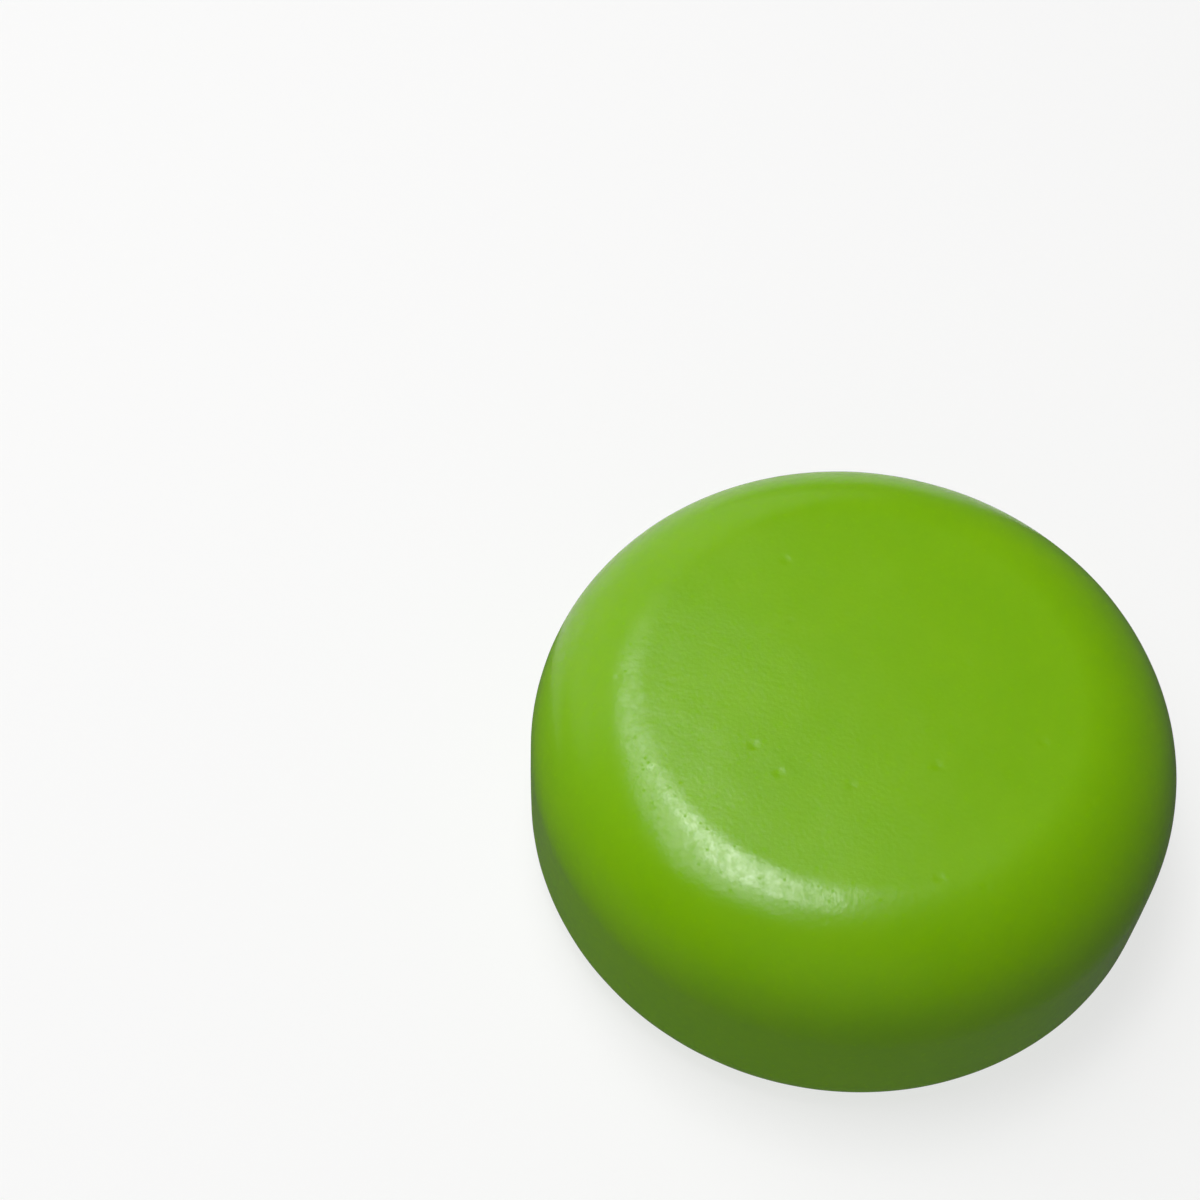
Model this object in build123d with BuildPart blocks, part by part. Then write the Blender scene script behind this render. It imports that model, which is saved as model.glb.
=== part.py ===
from build123d import *
import os

# A cast puck of soap: one round cake of one material, poured upside down into a
# flexible mould. The mould's floor forms the top with its broad rolled shoulder,
# and the open mouth, a little narrower than the cavity, rounds the lower edge
# and leaves the pour face flat. That flat face is what the puck rests on.
#
# The origin is the centre of the flat base, with +Z up. Sizes are in millimetres.

# Driving dimensions
puck_diameter = 70.0       # across the widest part of the side
puck_height = 28.0         # from the base to the middle of the top
shoulder_radius = 12.0     # rolled edge between the top and the side
base_edge_radius = 5.2     # rounded edge between the side and the base
crown_rise = 0.35          # how much higher the top is in the middle than at its rim
side_bulge = 0.25          # how much further out the side is half-way up than at its ends

puck_radius = puck_diameter / 2
end_radius = puck_radius - side_bulge
rim_height = puck_height - crown_rise

base_corner = (end_radius, 0)
top_corner = (end_radius, rim_height)

# The shape is a half profile turned about the Z axis, drawn with its height along
# the sketch's Y. The two outer corners start sharp and are then rounded, so the
# edges run smoothly into the flat base, the bowed side and the crowned top.
with BuildPart() as soap_puck:
    with BuildSketch(Plane.XZ) as half_profile:
        with BuildLine():
            Line((0, 0), base_corner)
            ThreePointArc(base_corner, (puck_radius, rim_height / 2), top_corner)
            TangentArc((0, puck_height), top_corner, tangent=(1, 0))
            Line((0, puck_height), (0, 0))
        make_face()
        for corner, radius in (
            (base_corner, base_edge_radius),
            (top_corner, shoulder_radius),
        ):
            fillet(half_profile.vertices().sort_by_distance(corner)[0], radius=radius)
    revolve(axis=Axis.Z)

soap_puck.part.label = "soap_puck"

os.makedirs("parts", exist_ok=True)
export_step(soap_puck.part, "parts/soap_puck.step")
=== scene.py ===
import math

import bpy
import numpy as np
from mathutils import Matrix, Vector, noise


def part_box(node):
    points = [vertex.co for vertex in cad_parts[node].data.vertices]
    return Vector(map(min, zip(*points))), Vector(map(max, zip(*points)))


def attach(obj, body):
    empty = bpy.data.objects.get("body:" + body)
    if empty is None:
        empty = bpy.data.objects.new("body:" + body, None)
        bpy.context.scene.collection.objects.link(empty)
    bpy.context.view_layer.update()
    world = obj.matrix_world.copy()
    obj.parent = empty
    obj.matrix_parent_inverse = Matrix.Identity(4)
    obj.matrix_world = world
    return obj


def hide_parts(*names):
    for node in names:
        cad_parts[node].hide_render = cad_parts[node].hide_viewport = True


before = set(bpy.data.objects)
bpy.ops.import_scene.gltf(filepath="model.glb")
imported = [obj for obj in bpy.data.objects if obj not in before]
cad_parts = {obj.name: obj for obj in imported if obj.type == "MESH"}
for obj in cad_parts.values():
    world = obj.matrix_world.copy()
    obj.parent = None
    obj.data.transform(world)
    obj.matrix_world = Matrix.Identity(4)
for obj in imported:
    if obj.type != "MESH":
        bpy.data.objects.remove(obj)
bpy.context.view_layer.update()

# ---------------------------------------------------------------------------
# The puck
# One cake of dyed vegetable soap, about 105 g, poured upside down into a flexible
# rubber mould. The mould's floor gives the top and its rolled shoulder, and the
# mould's lip, a little narrower than the cavity, gives the rounded lower edge.

MM = 0.001
base_low, top_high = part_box("soap_puck")
puck_radius = (top_high.x - base_low.x) / 2
puck_height = top_high.z - base_low.z
shoulder_radius = 12.0 * MM
base_edge_radius = 5.2 * MM
crown_rise = 0.35 * MM
side_bulge = 0.25 * MM

# The pour face is the base. The soap clung to the mould's lip and sank a little inside
# it as it cooled, so the puck stands on a narrow ring.
pour_sink = 0.35 * MM
sink_width = 2.4 * MM

# The half outline is followed from the middle of the top to the middle of the base:
# level top, shoulder arc, upright side, lower arc, pour face.
top_reach = puck_radius - shoulder_radius
base_reach = puck_radius - base_edge_radius
stretch_lengths = (
    top_reach,
    shoulder_radius * math.pi / 2,
    puck_height - shoulder_radius - base_edge_radius,
    base_edge_radius * math.pi / 2,
    base_reach,
)
stretch_ends = np.cumsum(stretch_lengths)
stretch_starts = stretch_ends - stretch_lengths
outline_length = stretch_ends[-1]


def outline(distance):
    """Radius, height and outward direction of the outline at distances along it."""
    turn = (distance - stretch_starts[1]) / shoulder_radius
    tuck = (distance - stretch_starts[3]) / base_edge_radius
    inward = np.clip(distance - stretch_starts[4], 0, None)
    stretch = [distance < end for end in stretch_ends[:4]]
    level = np.ones_like(distance)
    radius = np.select(
        stretch,
        [
            distance,
            top_reach + shoulder_radius * np.sin(turn),
            puck_radius * level,
            base_reach + base_edge_radius * np.cos(tuck),
        ],
        outline_length - distance,
    )
    height = np.select(
        stretch,
        [
            puck_height * level,
            puck_height - shoulder_radius * (1 - np.cos(turn)),
            puck_height - shoulder_radius - (distance - stretch_starts[2]),
            base_edge_radius * (1 - np.sin(tuck)),
        ],
        pour_sink * (1 - np.exp(-inward / sink_width)),
    )
    out = np.select(stretch, [0 * level, np.sin(turn), level, np.cos(tuck)], 0)
    up = np.select(stretch, [level, np.cos(turn), 0 * level, -np.sin(tuck)], -1)
    # The side bows out and the top crowns up by a fraction of a millimetre.
    side_level = 2 * height / puck_height - 1
    bowed = radius * (1 - side_bulge / puck_radius * side_level**2)
    crowned = height * (1 - crown_rise / puck_height * (radius / puck_radius) ** 2)
    return bowed, crowned, out, up


# The skin is even squares of about 0.39 mm. Each end face is a square grid pressed
# into a disc, so that no fan of thin triangles meets in its middle, and the side
# joins their two rims with rings of the same count.
cell = 0.385 * MM
disc_reach = 27.0 * MM
disc_rings = round(disc_reach / cell)
side_length = outline_length - 2 * disc_reach
side_rows = round(side_length / cell)

steps = np.arange(-disc_rings, disc_rings + 1)
across, along = [grid.ravel() for grid in np.meshgrid(steps, steps, indexing="ij")]
ring = np.maximum(abs(across), abs(along))
eighth_turn = math.pi / 4
around_ring = eighth_turn / np.maximum(ring, 1)
disc_heading = np.select(
    [across == ring, along == ring, across == -ring],
    [
        along * around_ring,
        2 * eighth_turn - across * around_ring,
        4 * eighth_turn - along * around_ring,
    ],
    6 * eighth_turn + across * around_ring,
)
disc_heading = np.mod(disc_heading, 2 * math.pi)

row_width = len(steps)
disc_count = row_width**2
rim = np.flatnonzero(ring == disc_rings)
rim = rim[np.argsort(disc_heading[rim])]

disc_distance = ring / disc_rings * disc_reach
side_distance = disc_reach + side_length * np.arange(1, side_rows) / side_rows
distance = np.concatenate(
    [disc_distance, np.repeat(side_distance, len(rim)), outline_length - disc_distance]
)
side_heading = np.tile(disc_heading[rim], side_rows - 1)
heading = np.concatenate([disc_heading, side_heading, disc_heading])

corner = np.arange(disc_count).reshape(row_width, row_width)
disc_faces = np.stack(
    [corner[:-1, :-1], corner[1:, :-1], corner[1:, 1:], corner[:-1, 1:]], -1
).reshape(-1, 4)
base_start = disc_count + (side_rows - 1) * len(rim)
belts = [rim]
for row in range(side_rows - 1):
    belts.append(disc_count + row * len(rim) + np.arange(len(rim)))
belts.append(base_start + rim)
side_faces = [
    np.stack([upper, lower, np.roll(lower, -1), np.roll(upper, -1)], -1)
    for upper, lower in zip(belts, belts[1:])
]
faces = np.concatenate([disc_faces, *side_faces, base_start + disc_faces[:, ::-1]])

chance = np.random.default_rng(27)
sunk = np.zeros(len(distance))
# Around a hollow the grid is drawn in: over this reach, and by this share at its middle.
draw_in = 1.9 * MM
draw_share = 0.6


def sink_hollows(count, gap, near, far, mouths, depth_per_mouth, lip):
    """Sinks round hollows at random, at least gap apart, near to far along the outline.

    The grid is drawn in around each, so that a small one has vertices enough. Mouths
    are the smallest and largest radius. A lip under 1 leaves a crisp edge.
    """
    spots = []
    while len(spots) < count:
        there = chance.uniform(near, far)
        turn = chance.uniform(0, 2 * math.pi)
        reach, level, _, _ = outline(np.array([there]))
        spot = np.array([reach[0] * np.cos(turn), reach[0] * np.sin(turn), level[0]])
        crowded = any(np.linalg.norm(spot - other) < gap for other in spots)
        # The chance of keeping a spot grows with its circle, so the spread is even.
        if crowded or chance.uniform() > reach[0] / puck_radius:
            continue
        spots.append(spot)
        mouth = chance.uniform(*mouths)
        along_side = distance - there
        wide = outline(distance)[0]
        around_side = wide * (np.mod(heading - turn + math.pi, 2 * math.pi) - math.pi)
        away = np.hypot(along_side, around_side)
        close = away < draw_in
        keep = 1 - draw_share * (1 - away[close] / draw_in) ** 2
        distance[close] = there + along_side[close] * keep
        heading[close] = turn + around_side[close] * keep / wide[close]
        away[close] *= keep
        bowl = np.clip(1 - (away / mouth) ** 2, 0, None) ** lip
        sunk[:] += depth_per_mouth * mouth * bowl


# Air bubbles against the mould leave a few shallow pinholes in the top and side, and
# bigger ones burst in the pour face, with crisp edges. They keep clear of the middles
# and of the ring that the puck stands on.
clear_of_middle = 3 * MM
clear_of_ring = 1.5 * MM
pour_face_start = stretch_starts[4] + clear_of_ring
pour_face_end = outline_length - clear_of_middle
sink_hollows(
    count=9,
    gap=8.0 * MM,
    near=clear_of_middle,
    far=stretch_ends[2],
    mouths=(0.22 * MM, 0.38 * MM),
    depth_per_mouth=0.13,
    lip=1.0,
)
sink_hollows(
    count=22,
    gap=4.5 * MM,
    near=pour_face_start,
    far=pour_face_end,
    mouths=(0.35 * MM, 1.1 * MM),
    depth_per_mouth=0.55,
    lip=0.7,
)

radius, height, out, up = outline(distance)
skin = np.stack([radius * np.cos(heading), radius * np.sin(heading), height], -1)
outward = np.stack([out * np.cos(heading), out * np.sin(heading), up], -1)


def waves(size, seed):
    """Smooth noise from -1 to 1 whose waves are about size long."""
    shift = Vector((seed, -seed, 2 * seed))
    return np.array([noise.noise(Vector(point) / size + shift) for point in skin])


# Soap shrinks unevenly as it cools and the mould flexes, so the cake is out of true
# by a tenth or two of a millimetre and its skin is very slightly wavy. Each kind of
# wave has its height, its length and a seed. The two broad ones fade out towards the
# base, so that it stands flat, and the pour face has faint ripples of its own.
settled = np.clip(height / base_edge_radius, 0, 1)
poured = np.clip((distance - pour_face_start) / sink_width, 0, 1)
out_of_true = 0.16 * MM * waves(46 * MM, 3.1) * settled
slack = 0.040 * MM * waves(11 * MM, 7.7) * settled
skin_waves = 0.014 * MM * waves(3.4 * MM, 12.3)
pour_ripples = 0.05 * MM * waves(9 * MM, 5.2) * poured
swell = out_of_true + slack + skin_waves + pour_ripples
skin += outward * (swell - sunk)[:, None]
skin[:, 2] = np.maximum(skin[:, 2], base_low.z)

puck_mesh = bpy.data.meshes.new("soap_puck_cast")
puck_mesh.from_pydata(skin.tolist(), [], faces.tolist())
puck_mesh.polygons.foreach_set("use_smooth", [True] * len(puck_mesh.polygons))
puck_mesh.update()
puck = bpy.data.objects.new("soap_puck_cast", puck_mesh)
bpy.context.collection.objects.link(puck)


def linear(hex_colour):
    """An sRGB hex colour as linear RGBA."""
    parts = [int(hex_colour[i : i + 2], 16) / 255 for i in (1, 3, 5)]
    return [
        part / 12.92 if part <= 0.04045 else ((part + 0.055) / 1.055) ** 2.4
        for part in parts
    ] + [1.0]


def node(tree, kind, links=None, **settings):
    """Adds a node, sets its properties and inputs, and links other nodes to it."""
    made = tree.nodes.new(kind)
    for name, value in settings.items():
        if hasattr(made, name):
            setattr(made, name, value)
        else:
            made.inputs[name.replace("_", " ")].default_value = value
    for socket, source in (links or {}).items():
        tree.links.new(source, made.inputs[socket])
    return made


# Vegetable soap with a green dye, cast against rubber. It is waxy: light goes in by a
# millimetre or so and comes out greener, and the satin skin gives one broad, slightly
# gritty highlight. The dye is a little uneven, in slow clouds.
dye = "#7AB500"
dye_thin = "#84BC04"
cloud_size = 9 * MM
light_depth = 1.5 * MM
# The mould's rubber was not quite smooth: it leaves a faint peel and, every several
# millimetres, a soft dimple about a millimetre and a half wide.
peel_size = 1.3 * MM
peel_depth = 0.011 * MM
dimple_gap = 6.0 * MM
dimple_radius = 0.85 * MM
dimple_depth = 0.034 * MM
# The mould's grit is 0.1 to 0.2 mm: it is drawn twice as coarse, so that it shows.
grain_size = 0.45 * MM
grain_depth = 0.014 * MM
# The skin is scuffed, and pricked with pores. Both are dull, so the highlight is mottled
# and specked. Pores of about 0.2 mm are drawn over twice as wide, so that they show.
scuff_size = 1.0 * MM
pore_gap = 1.0 * MM
pore_radius = 0.27 * MM
# The middle of the noise, where nearly all of it lies, is spread over a finish's range.
noise_low = 0.35
noise_high = 0.65

soap = bpy.data.materials.new("vegetable_soap_dyed_green_cast_satin")
soap.use_nodes = True
tree = soap.node_tree
tree.nodes.clear()
place = node(tree, "ShaderNodeTexCoord").outputs["Object"]
clouds = node(tree, "ShaderNodeTexNoise", {"Vector": place}, Scale=1 / cloud_size, Detail=3.0)
colour = node(
    tree,
    "ShaderNodeMix",
    {"Factor": clouds.outputs["Fac"]},
    data_type="RGBA",
)
colour.inputs["A"].default_value = linear(dye)
colour.inputs["B"].default_value = linear(dye_thin)
grain = node(tree, "ShaderNodeTexNoise", {"Vector": place}, Scale=1 / grain_size, Detail=2.0)
scuffs = node(
    tree,
    "ShaderNodeTexNoise",
    {"Vector": place},
    Scale=1 / scuff_size,
    Detail=4.0,
    Roughness=0.75,
)
roughness = node(
    tree,
    "ShaderNodeMapRange",
    {"Value": scuffs.outputs["Fac"]},
    From_Min=noise_low,
    From_Max=noise_high,
    To_Min=0.27,
    To_Max=0.20,
)
shine = node(
    tree,
    "ShaderNodeMapRange",
    {"Value": scuffs.outputs["Fac"]},
    From_Min=noise_low,
    From_Max=noise_high,
    To_Min=0.38,
    To_Max=0.70,
)
pores = node(tree, "ShaderNodeTexVoronoi", {"Vector": place}, Scale=1 / pore_gap)
pore_shape = node(
    tree,
    "ShaderNodeMapRange",
    {"Value": pores.outputs["Distance"]},
    interpolation_type="SMOOTHSTEP",
    From_Min=0.0,
    From_Max=pore_radius / pore_gap,
)
broken_shine = node(
    tree,
    "ShaderNodeMath",
    {0: shine.outputs["Result"], 1: pore_shape.outputs["Result"]},
    operation="MULTIPLY",
)
peel = node(tree, "ShaderNodeTexNoise", {"Vector": place}, Scale=1 / peel_size, Detail=1.0)
peel_bump = node(
    tree,
    "ShaderNodeBump",
    {"Height": peel.outputs["Fac"]},
    Strength=1.0,
    Distance=peel_depth,
)
dimples = node(tree, "ShaderNodeTexVoronoi", {"Vector": place}, Scale=1 / dimple_gap)
dimple_shape = node(
    tree,
    "ShaderNodeMapRange",
    {"Value": dimples.outputs["Distance"]},
    interpolation_type="SMOOTHSTEP",
    From_Min=0.0,
    From_Max=dimple_radius / dimple_gap,
)
dimple_bump = node(
    tree,
    "ShaderNodeBump",
    {"Height": dimple_shape.outputs["Result"], "Normal": peel_bump.outputs["Normal"]},
    Strength=1.0,
    Distance=dimple_depth,
)
grain_bump = node(
    tree,
    "ShaderNodeBump",
    {"Height": grain.outputs["Fac"], "Normal": dimple_bump.outputs["Normal"]},
    Strength=1.0,
    Distance=grain_depth,
)
finish = node(
    tree,
    "ShaderNodeBsdfPrincipled",
    {
        "Base Color": colour.outputs["Result"],
        "Roughness": roughness.outputs["Result"],
        "Specular IOR Level": broken_shine.outputs["Value"],
        "Normal": grain_bump.outputs["Normal"],
    },
    IOR=1.46,
    Subsurface_Weight=0.25,
    Subsurface_Scale=light_depth,
)
finish.inputs["Subsurface Radius"].default_value = (0.6, 1.0, 0.2)
node(tree, "ShaderNodeOutputMaterial", {"Surface": finish.outputs["BSDF"]})
puck.data.materials.append(soap)

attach(puck, "root")
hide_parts("soap_puck")

# ---------------------------------------------------------------------------
# The table
# A round table of opal acrylic, lit from below, that sweeps up into a pale wall.
# Only the camera sees it. The light that a table throws back onto the puck comes from
# a plain grey sheet in the same place, and a white card gives the far rim its edge.

table_reach = 1.6
sweep_radius = 0.9
wall_height = 3.0
wall_sides = 96
table_glow = 0.72
dull_glow = 0.31
# The sheets lie this far under the puck, each at its own level.
opal_drop = 0.02 * MM
card_drop = 0.04 * MM
dull_drop = 0.05 * MM
sweep_bends = 13


def stage_sheet(name, corners, loops, hex_colour, glow):
    """A sheet of matt acrylic that is part of the setting."""
    mesh = bpy.data.meshes.new(name)
    mesh.from_pydata(corners, [], loops)
    mesh.polygons.foreach_set("use_smooth", [True] * len(mesh.polygons))
    sheet = bpy.data.objects.new(name, mesh)
    bpy.context.collection.objects.link(sheet)
    acrylic = bpy.data.materials.new(name)
    acrylic.use_nodes = True
    tree = acrylic.node_tree
    tree.nodes.clear()
    matt = node(
        tree,
        "ShaderNodeBsdfPrincipled",
        Roughness=0.9,
        Specular_IOR_Level=0.0,
        Emission_Strength=glow,
    )
    matt.inputs["Base Color"].default_value = linear(hex_colour)
    matt.inputs["Emission Color"].default_value = linear("#FFFFFF")
    node(tree, "ShaderNodeOutputMaterial", {"Surface": matt.outputs["BSDF"]})
    mesh.materials.append(acrylic)
    return sheet


profile = [
    (table_reach + sweep_radius * math.sin(bend), sweep_radius * (1 - math.cos(bend)))
    for bend in np.linspace(0, math.pi / 2, sweep_bends)
]
profile.append((table_reach + sweep_radius, wall_height))
turns = [2 * math.pi * side / wall_sides for side in range(wall_sides)]
corners = [
    (reach * math.cos(turn), reach * math.sin(turn), level - opal_drop)
    for reach, level in profile
    for turn in turns
]
loops = [tuple(range(wall_sides))]
for row in range(len(profile) - 1):
    for side in range(wall_sides):
        lower = row * wall_sides + side
        lower_next = row * wall_sides + (side + 1) % wall_sides
        loops.append((lower, lower + wall_sides, lower_next + wall_sides, lower_next))
seen_table = stage_sheet("opal_table", corners, loops, "#8A8A89", table_glow)
seen_table.visible_diffuse = False
seen_table.visible_glossy = False
seen_table.visible_shadow = False

ends = (-table_reach, table_reach)
corners = [(left, front, -dull_drop) for left in ends for front in ends]
dull_table = stage_sheet("dull_table", corners, [(0, 2, 3, 1)], "#7C7C7B", dull_glow)
dull_table.visible_camera = False
dull_table.visible_glossy = False

# A white card under the puck's back edge, and out behind it, is seen only in the gloss.
card_left, card_right = -0.45, 0.02
card_near, card_far = 0.02, 0.60
corners = [
    (side, depth, -card_drop)
    for side in (card_left, card_right)
    for depth in (card_near, card_far)
]
card = stage_sheet("white_card", corners, [(0, 2, 3, 1)], "#D6D6D4", 0.0)
card.visible_camera = False
card.visible_diffuse = False
card.visible_shadow = False

# ---------------------------------------------------------------------------
# Lights
# A softbox overhead to the left, brighter at its heart, and weak fill around. Each has
# its place, width and depth in metres and its strength in watts.

puck_middle = Vector((0, 0, puck_height / 2))


def softbox(name, place, width, depth, watts, mirrored=True):
    """An area light at a place, tilted from straight down until it faces the puck.

    One that isn't mirrored lights the puck but is never seen in its gloss.
    """
    lamp = bpy.data.lights.new(name, "AREA")
    lamp.shape = "RECTANGLE"
    lamp.size = width
    lamp.size_y = depth
    lamp.energy = watts
    stand = bpy.data.objects.new(name, lamp)
    stand.location = place
    tilt = Vector((0, 0, -1)).rotation_difference(puck_middle - stand.location)
    stand.rotation_euler = tilt.to_euler()
    stand.visible_camera = False
    stand.visible_glossy = mirrored
    bpy.context.collection.objects.link(stand)


softbox("key_heart", (-0.089, 0.055, 0.60), 0.19, 0.28, 1.31)
softbox("key", (-0.220, 0.051, 0.60), 0.33, 0.61, 1.92)
softbox("back_left_fill", (-0.45, 0.42, 0.30), 0.80, 0.80, 0.90)
softbox("back_left_wash", (-0.45, 0.42, 0.30), 0.80, 0.80, 0.80, mirrored=False)
softbox("low_left_wash", (-0.60, 0.10, 0.20), 0.40, 0.60, 0.50, mirrored=False)
softbox("front_wash", (0.10, -0.60, 0.27), 0.60, 0.50, 0.56, mirrored=False)

# The room is nearly dark, and is seen only in the puck's gloss.
room_glow = 0.10
sky = bpy.data.worlds.new("dark_room")
sky.use_nodes = True
room = sky.node_tree.nodes["Background"]
room.inputs["Color"].default_value = linear("#FFFFFF")
room.inputs["Strength"].default_value = room_glow
bpy.context.scene.world = sky
sky.cycles_visibility.diffuse = False
bpy.context.scene.view_settings.view_transform = "Standard"

# ---------------------------------------------------------------------------
# Camera
# It stands 266 mm from the puck, looking down at it, tipped to one side, with the
# puck low and right of the middle of its frame.

camera_distance = 266 * MM
looking_down = math.radians(58.6)
tipped = math.radians(12.85)
puck_right_of_middle = math.radians(5.90)
puck_below_middle = math.radians(3.73)
lens = bpy.data.cameras.new("camera")
lens.sensor_width = 36.0
lens.lens = 72.3
lens.clip_start = 0.01
camera = bpy.data.objects.new("camera", lens)
back = Vector((0, -math.cos(looking_down), math.sin(looking_down)))
aimed = (
    (-back).to_track_quat("-Z", "Y").to_matrix()
    @ Matrix.Rotation(tipped, 3, "Z")
    @ Matrix.Rotation(puck_right_of_middle, 3, "Y")
    @ Matrix.Rotation(puck_below_middle, 3, "X")
)
camera.matrix_world = Matrix.Translation(puck_middle + back * camera_distance) @ aimed.to_4x4()
bpy.context.collection.objects.link(camera)
bpy.context.scene.camera = camera
